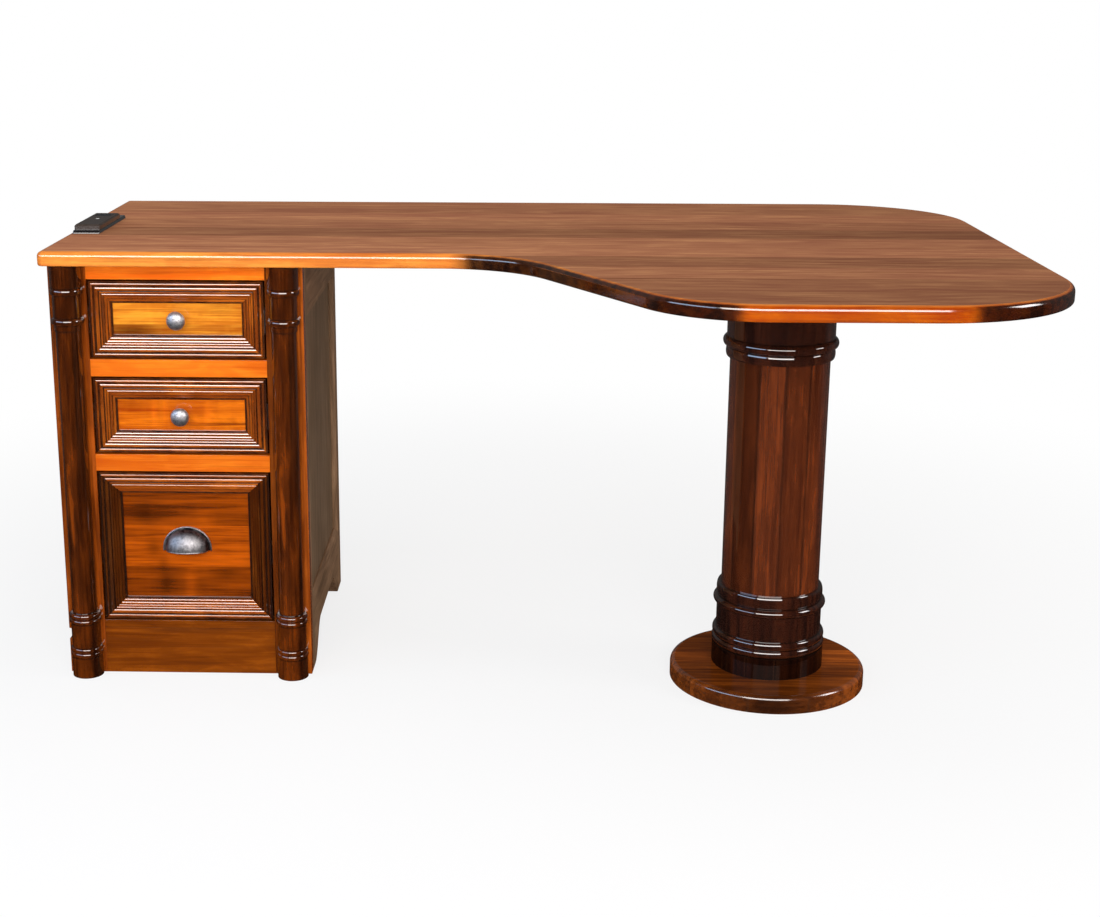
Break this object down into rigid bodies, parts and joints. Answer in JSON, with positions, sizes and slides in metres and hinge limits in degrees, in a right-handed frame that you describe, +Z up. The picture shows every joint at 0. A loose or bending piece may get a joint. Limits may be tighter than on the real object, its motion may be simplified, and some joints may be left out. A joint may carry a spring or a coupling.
{
  "type": "pedestal desk",
  "caption": "Desk with a curved free-form top on a drawer cabinet with turned corner columns and a round turned pedestal on a disc foot.",
  "frame": {"origin": "on the floor, under the middle of the worktop's outline", "axes": "+X along the desk from the drawers to the round pedestal, +Y from the drawers' fronts to the back, +Z up"},
  "size_m": [1.645, 1.138, 0.777],
  "materials": {
    "top_wood": "gloss",
    "base_wood": "gloss",
    "case_wood": "gloss",
    "panel_wood": "gloss",
    "turned_wood": "gloss",
    "shaft_wood": "gloss",
    "inside_wood": "satin",
    "pewter": "antiqued",
    "steel": "zinc plated",
    "black_plastic": "gloss",
    "port_plastic": "satin",
    "indicator_plastic": "satin"
  },
  "bodies": {
    "desk": {"desk_top": "top_wood", "hub_base": "black_plastic", "hub_cover": "black_plastic", "hub_ports": "port_plastic", "hub_indicator": "indicator_plastic", "hub_tube": "black_plastic", "hub_nut": "black_plastic", "face_stile_left": "case_wood", "face_stile_right": "case_wood", "face_top_rail": "case_wood", "face_mid_rails": "case_wood", "kick_board": "case_wood", "corner_column_left": "turned_wood", "corner_column_right": "turned_wood", "side_left_stiles": "case_wood", "side_left_top_rail": "case_wood", "side_left_bottom_rail": "case_wood", "side_left_panel": "panel_wood", "side_right_stiles": "case_wood", "side_right_top_rail": "case_wood", "side_right_bottom_rail": "case_wood", "side_right_panel": "panel_wood", "back_panel": "inside_wood", "cabinet_floor": "inside_wood", "top_stretchers": "inside_wood", "slide_blocks": "inside_wood", "cabinet_slides": "steel", "top_screws": "steel", "shaft_staves": "shaft_wood", "neck_collar": "turned_wood", "plinth_collar": "turned_wood", "base_disc": "base_wood", "shaft_plugs": "inside_wood", "tie_rod": "steel", "rod_fasteners": "steel"},
    "drawer_1": {"drawer_1_frame": "case_wood", "drawer_1_panel": "panel_wood", "drawer_1_box": "inside_wood", "drawer_1_bottom": "inside_wood", "drawer_1_slides": "steel", "drawer_1_knob": "pewter", "drawer_1_pull_screw": "steel"},
    "drawer_1_middle": {"drawer_1_mid_slides": "steel"},
    "drawer_2": {"drawer_2_frame": "case_wood", "drawer_2_panel": "panel_wood", "drawer_2_box": "inside_wood", "drawer_2_bottom": "inside_wood", "drawer_2_slides": "steel", "drawer_2_knob": "pewter", "drawer_2_pull_screw": "steel"},
    "drawer_2_middle": {"drawer_2_mid_slides": "steel"},
    "drawer_3": {"drawer_3_frame": "case_wood", "drawer_3_panel": "panel_wood", "drawer_3_box": "inside_wood", "drawer_3_bottom": "inside_wood", "drawer_3_slides": "steel", "drawer_3_cup_pull": "pewter", "drawer_3_pull_screws": "steel", "drawer_3_file_rails": "steel"},
    "drawer_3_middle": {"drawer_3_mid_slides": "steel"}
  },
  "joints": [
    {"name": "drawer_1_slide", "type": "slide", "parent": "desk", "child": "drawer_1", "axis": [0, -1, 0], "range_m": [0, 0.4]},
    {"name": "drawer_1_middle_slide", "type": "slide", "parent": "desk", "child": "drawer_1_middle", "axis": [0, -1, 0], "range_m": [0, 0.2]},
    {"name": "drawer_2_slide", "type": "slide", "parent": "desk", "child": "drawer_2", "axis": [0, -1, 0], "range_m": [0, 0.4]},
    {"name": "drawer_2_middle_slide", "type": "slide", "parent": "desk", "child": "drawer_2_middle", "axis": [0, -1, 0], "range_m": [0, 0.2]},
    {"name": "drawer_3_slide", "type": "slide", "parent": "desk", "child": "drawer_3", "axis": [0, -1, 0], "range_m": [0, 0.4]},
    {"name": "drawer_3_middle_slide", "type": "slide", "parent": "desk", "child": "drawer_3_middle", "axis": [0, -1, 0], "range_m": [0, 0.2]}
  ],
  "couplings": [
    {"joint": "drawer_1_middle_slide", "follows": "drawer_1_slide", "ratio": 0.5},
    {"joint": "drawer_2_middle_slide", "follows": "drawer_2_slide", "ratio": 0.5},
    {"joint": "drawer_3_middle_slide", "follows": "drawer_3_slide", "ratio": 0.5}
  ]
}
